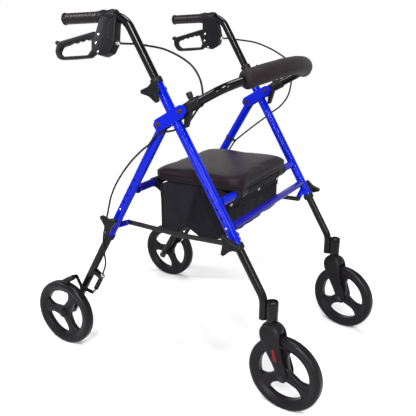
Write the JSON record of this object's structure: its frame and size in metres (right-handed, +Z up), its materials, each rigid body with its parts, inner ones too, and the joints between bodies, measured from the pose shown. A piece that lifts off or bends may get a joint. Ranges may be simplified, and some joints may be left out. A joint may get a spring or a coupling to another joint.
{
  "type": "rollator walker",
  "caption": "Folding four-wheeled walking frame with telescopic legs and handles, loop brakes, flip-up padded seat, tote bag and padded back bow.",
  "frame": {"origin": "on the floor, below the middle of the bounding box", "axes": "+Z up, -Y the way the user walks, +X towards the user's left hand"},
  "size_m": [0.612, 0.8999, 0.9655],
  "materials": {
    "blue_paint": "gloss",
    "dark_blue_paint": "gloss",
    "black_paint": "gloss",
    "wheel_pvc": "matte",
    "vinyl": "satin",
    "foam_cover": "matte",
    "bag_cloth": "matte",
    "cable_jacket": "satin",
    "black_steel": "satin",
    "grip_plastic": "satin",
    "black_plastic": "satin"
  },
  "bodies": {
    "front_frame": {"front_seat_tube": "blue_paint", "lower_crossbar": "blue_paint", "bag": "bag_cloth", "front_tube_L": "blue_paint", "bracket_L": "blue_paint", "handle_collar_L": "black_plastic", "front_collar_L": "black_plastic", "cable_upper_L": "cable_jacket", "cable_middle_L": "cable_jacket", "front_tube_R": "blue_paint", "bracket_R": "blue_paint", "handle_collar_R": "black_plastic", "front_collar_R": "black_plastic", "cable_upper_R": "cable_jacket", "cable_middle_R": "cable_jacket"},
    "rear_frame": {"rear_cross_tube": "dark_blue_paint", "rear_tube_L": "blue_paint", "rear_cap_L": "black_plastic", "rear_collar_L": "black_plastic", "cable_lower_L": "cable_jacket", "rear_tube_R": "blue_paint", "rear_cap_R": "black_plastic", "rear_collar_R": "black_plastic", "cable_lower_R": "cable_jacket"},
    "handle_L": {"handle_tube_L": "black_paint", "grip_L": "grip_plastic", "brake_housing_L": "black_plastic"},
    "lever_L": {"brake_lever_L": "black_plastic"},
    "front_leg_L": {"front_leg_L": "black_paint"},
    "caster_L": {"fork_L": "black_plastic"},
    "front_wheel_L": {"front_wheel_L": "wheel_pvc"},
    "rear_leg_L": {"rear_leg_L": "black_paint"},
    "rear_wheel_L": {"rear_wheel_L": "wheel_pvc"},
    "brake_arm_L": {"brake_arm_L": "black_steel"},
    "handle_knob_L": {"handle_knob_L": "black_plastic"},
    "front_knob_L": {"front_knob_L": "black_plastic"},
    "rear_knob_L": {"rear_knob_L": "black_plastic"},
    "brace_front_L": {"brace_front_L": "black_steel"},
    "brace_rear_L": {"brace_rear_L": "black_steel"},
    "handle_R": {"handle_tube_R": "black_paint", "grip_R": "grip_plastic", "brake_housing_R": "black_plastic"},
    "lever_R": {"brake_lever_R": "black_plastic"},
    "front_leg_R": {"front_leg_R": "black_paint"},
    "caster_R": {"fork_R": "black_plastic"},
    "front_wheel_R": {"front_wheel_R": "wheel_pvc"},
    "rear_leg_R": {"rear_leg_R": "black_paint"},
    "rear_wheel_R": {"rear_wheel_R": "wheel_pvc"},
    "brake_arm_R": {"brake_arm_R": "black_steel"},
    "handle_knob_R": {"handle_knob_R": "black_plastic"},
    "front_knob_R": {"front_knob_R": "black_plastic"},
    "rear_knob_R": {"rear_knob_R": "black_plastic"},
    "brace_front_R": {"brace_front_R": "black_steel"},
    "brace_rear_R": {"brace_rear_R": "black_steel"},
    "seat": {"seat_pad": "vinyl", "seat_board": "black_plastic"},
    "backrest": {"back_hinge_L": "black_plastic", "back_hinge_R": "black_plastic", "back_tube": "black_paint", "back_pad": "foam_cover"}
  },
  "joints": [
    {"name": "fold", "type": "hinge", "parent": "front_frame", "child": "rear_frame", "pos_m": [0, 0.0095, 0.696], "axis": [-1, 0, 0], "range_deg": [0, 33], "deforming": ["cable_middle_L", "cable_upper_L", "cable_lower_L", "cable_middle_R", "cable_upper_R", "cable_lower_R"]},
    {"name": "handle_slide_L", "type": "slide", "parent": "front_frame", "child": "handle_L", "axis": [0, 0.5099, 0.8603], "range_m": [-0.085, 0.06], "deforming": ["cable_upper_L"]},
    {"name": "brake_lever_L", "type": "hinge", "parent": "handle_L", "child": "lever_L", "pos_m": [0.26592, 0.172, 0.88846], "axis": [0.9599, -0.0483, 0.2761], "range_deg": [0, 14], "stiffness_Nm_per_rad": 2, "springref_deg": -11.46},
    {"name": "front_leg_slide_L", "type": "slide", "parent": "front_frame", "child": "front_leg_L", "axis": [0, 0.5099, 0.8603], "range_m": [0, 0.1016]},
    {"name": "caster_swivel_L", "type": "hinge", "parent": "front_leg_L", "child": "caster_L", "pos_m": [0.245, -0.3078, 0.215], "axis": [0, 0, 1], "continuous": true},
    {"name": "front_wheel_spin_L", "type": "hinge", "parent": "caster_L", "child": "front_wheel_L", "pos_m": [0.23584, -0.34879, 0.1], "axis": [0.9759, -0.2181, 0], "continuous": true},
    {"name": "rear_leg_slide_L", "type": "slide", "parent": "rear_frame", "child": "rear_leg_L", "axis": [0, -0.5079, 0.8614], "range_m": [0, 0.1016], "deforming": ["cable_lower_L"]},
    {"name": "rear_wheel_spin_L", "type": "hinge", "parent": "rear_leg_L", "child": "rear_wheel_L", "pos_m": [0.284, 0.3499, 0.1], "axis": [1, 0, 0], "continuous": true},
    {"name": "brake_arm_L", "type": "hinge", "parent": "rear_leg_L", "child": "brake_arm_L", "pos_m": [0.259, 0.3016, 0.182], "axis": [-1, 0, 0], "range_deg": [0, 4.7]},
    {"name": "handle_knob_turn_L", "type": "hinge", "parent": "front_frame", "child": "handle_knob_L", "pos_m": [0.27, 0.00675, 0.77899], "axis": [1, 0, 0], "continuous": true},
    {"name": "front_knob_turn_L", "type": "hinge", "parent": "front_frame", "child": "front_knob_L", "pos_m": [0.27, -0.20308, 0.42496], "axis": [1, 0, 0], "continuous": true},
    {"name": "rear_knob_turn_L", "type": "hinge", "parent": "rear_frame", "child": "rear_knob_L", "pos_m": [0.27, 0.16334, 0.41641], "axis": [1, 0, 0], "continuous": true},
    {"name": "brace_front_turn_L", "type": "hinge", "parent": "front_frame", "child": "brace_front_L", "pos_m": [0.226, -0.183, 0.404], "axis": [-1, 0, 0], "range_deg": [0, 65.8]},
    {"name": "brace_rear_turn_L", "type": "hinge", "parent": "rear_frame", "child": "brace_rear_L", "pos_m": [0.226, 0.146, 0.405], "axis": [1, 0, 0], "range_deg": [0, 89.5]},
    {"name": "handle_slide_R", "type": "slide", "parent": "front_frame", "child": "handle_R", "axis": [0, 0.5099, 0.8603], "range_m": [-0.085, 0.06], "deforming": ["cable_upper_R"]},
    {"name": "brake_lever_R", "type": "hinge", "parent": "handle_R", "child": "lever_R", "pos_m": [-0.26592, 0.172, 0.88846], "axis": [0.9599, 0.0483, -0.2761], "range_deg": [0, 14], "stiffness_Nm_per_rad": 2, "springref_deg": -11.46},
    {"name": "front_leg_slide_R", "type": "slide", "parent": "front_frame", "child": "front_leg_R", "axis": [0, 0.5099, 0.8603], "range_m": [0, 0.1016]},
    {"name": "caster_swivel_R", "type": "hinge", "parent": "front_leg_R", "child": "caster_R", "pos_m": [-0.245, -0.3078, 0.215], "axis": [0, 0, 1], "continuous": true},
    {"name": "front_wheel_spin_R", "type": "hinge", "parent": "caster_R", "child": "front_wheel_R", "pos_m": [-0.24895, -0.34961, 0.1], "axis": [0.9956, -0.0941, 0], "continuous": true},
    {"name": "rear_leg_slide_R", "type": "slide", "parent": "rear_frame", "child": "rear_leg_R", "axis": [0, -0.5079, 0.8614], "range_m": [0, 0.1016], "deforming": ["cable_lower_R"]},
    {"name": "rear_wheel_spin_R", "type": "hinge", "parent": "rear_leg_R", "child": "rear_wheel_R", "pos_m": [-0.284, 0.3499, 0.1], "axis": [1, 0, 0], "continuous": true},
    {"name": "brake_arm_R", "type": "hinge", "parent": "rear_leg_R", "child": "brake_arm_R", "pos_m": [-0.259, 0.3016, 0.182], "axis": [-1, 0, 0], "range_deg": [0, 4.7]},
    {"name": "handle_knob_turn_R", "type": "hinge", "parent": "front_frame", "child": "handle_knob_R", "pos_m": [-0.27, 0.00675, 0.77899], "axis": [1, 0, 0], "continuous": true},
    {"name": "front_knob_turn_R", "type": "hinge", "parent": "front_frame", "child": "front_knob_R", "pos_m": [-0.27, -0.20308, 0.42496], "axis": [1, 0, 0], "continuous": true},
    {"name": "rear_knob_turn_R", "type": "hinge", "parent": "rear_frame", "child": "rear_knob_R", "pos_m": [-0.27, 0.16334, 0.41641], "axis": [1, 0, 0], "continuous": true},
    {"name": "brace_front_turn_R", "type": "hinge", "parent": "front_frame", "child": "brace_front_R", "pos_m": [-0.226, -0.183, 0.404], "axis": [-1, 0, 0], "range_deg": [0, 65.8]},
    {"name": "brace_rear_turn_R", "type": "hinge", "parent": "rear_frame", "child": "brace_rear_R", "pos_m": [-0.226, 0.146, 0.405], "axis": [1, 0, 0], "range_deg": [0, 89.5]},
    {"name": "seat_flip", "type": "hinge", "parent": "front_frame", "child": "seat", "pos_m": [0, -0.1521, 0.511], "axis": [1, 0, 0], "range_deg": [0, 80]},
    {"name": "backrest_turn", "type": "hinge", "parent": "front_frame", "child": "backrest", "pos_m": [0, -0.0546, 0.733], "axis": [-1, 0, 0], "range_deg": [0, 60], "deforming": ["cable_upper_L", "cable_middle_L", "cable_upper_R", "cable_middle_R"]}
  ],
  "couplings": [
    {"joint": "brake_arm_L", "follows": "brake_lever_L", "ratio": 0.33},
    {"joint": "brace_front_turn_L", "follows": "fold", "ratio": 1.9867},
    {"joint": "brace_rear_turn_L", "follows": "fold", "ratio": 2.7073},
    {"joint": "brake_arm_R", "follows": "brake_lever_R", "ratio": 0.33},
    {"joint": "brace_front_turn_R", "follows": "fold", "ratio": 1.9867},
    {"joint": "brace_rear_turn_R", "follows": "fold", "ratio": 2.7073}
  ]
}
